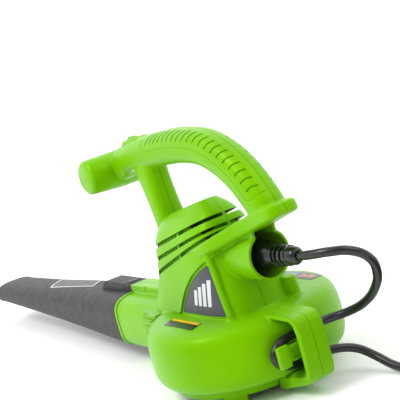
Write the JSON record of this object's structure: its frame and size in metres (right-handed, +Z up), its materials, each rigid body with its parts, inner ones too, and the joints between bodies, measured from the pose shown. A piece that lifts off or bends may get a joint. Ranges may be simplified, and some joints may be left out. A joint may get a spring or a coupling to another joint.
{
  "type": "leaf blower",
  "caption": "Hand-held corded leaf blower with a round fan casing, motor tower, looped grip, tapered blower tube and a plugged-in cord led through a rear retainer.",
  "frame": {"origin": "on the fan axis, at the floor plane under the hub of the intake grille", "axes": "+Z up along the fan axis, -Y toward the mouth of the blower tube, +X toward the tool's left side"},
  "size_m": [0.3884, 1.1795, 0.3012],
  "materials": {
    "green_shell": "injection moulded, low sheen",
    "charcoal_tube": "blow moulded, fine matt grain",
    "black_plastic": "moulded nylon",
    "steel": "zinc plated or ground",
    "iron": "stamped and bare",
    "copper": "enamelled copper",
    "brass": "stamped, bright",
    "graphite": "pressed carbon",
    "phenolic": "moulded, dark",
    "wire": "extruded insulation",
    "slate": "satin printed plate",
    "cord_jacket": "extruded vinyl jacket, slightly glossy",
    "tie_strap": "woven hook-and-loop strap"
  },
  "bodies": {
    "root": {"left_housing": "green_shell", "right_housing": "green_shell", "intake_base": "green_shell", "blower_tube": "charcoal_tube", "lower_bearing": "steel", "upper_bearing": "steel", "motor_plate": "black_plastic", "motor_frame": "iron", "stator_core": "iron", "field_winding_lower": "copper", "field_winding_upper": "copper", "brush_holder_left": "brass", "brush_holder_right": "brass", "brush_left": "graphite", "brush_right": "graphite", "inlet_body": "phenolic", "inlet_blade_left": "brass", "inlet_blade_right": "brass", "switch_body": "phenolic", "lead_to_switch": "wire", "lead_to_motor": "wire", "badge_left": "slate", "badge_right": "slate", "connector_body": "cord_jacket", "cord_tube": "cord_jacket", "cord_coil": "cord_jacket", "cord_end": "cord_jacket", "plug_body": "cord_jacket", "plug_pin_1": "brass", "plug_pin_2": "brass", "plug_pin_3": "brass", "coil_tie": "tie_strap", "housing_screw_1": "steel", "housing_screw_2": "steel", "housing_screw_3": "steel", "housing_screw_4": "steel", "housing_screw_5": "steel", "housing_screw_6": "steel", "housing_screw_7": "steel", "housing_screw_8": "steel"},
    "rotor": {"motor_shaft": "steel", "armature_core": "iron", "armature_winding_lower": "copper", "armature_winding_upper": "copper", "commutator": "copper", "impeller": "black_plastic", "impeller_nut": "steel"},
    "switch_button": {"switch_button": "black_plastic"},
    "tube_latch": {"tube_latch": "black_plastic"}
  },
  "joints": [
    {"name": "fan_spin", "type": "hinge", "parent": "root", "child": "rotor", "pos_m": [0, 0, 0.1], "axis": [0, 0, 1], "continuous": true},
    {"name": "switch_slide", "type": "slide", "parent": "root", "child": "switch_button", "axis": [0, 1, 0], "range_m": [0, 0.007]},
    {"name": "latch_press", "type": "slide", "parent": "root", "child": "tube_latch", "axis": [0, 0, -1], "range_m": [0, 0.005], "stiffness_N_per_m": 400, "springref_m": -0.002}
  ]
}
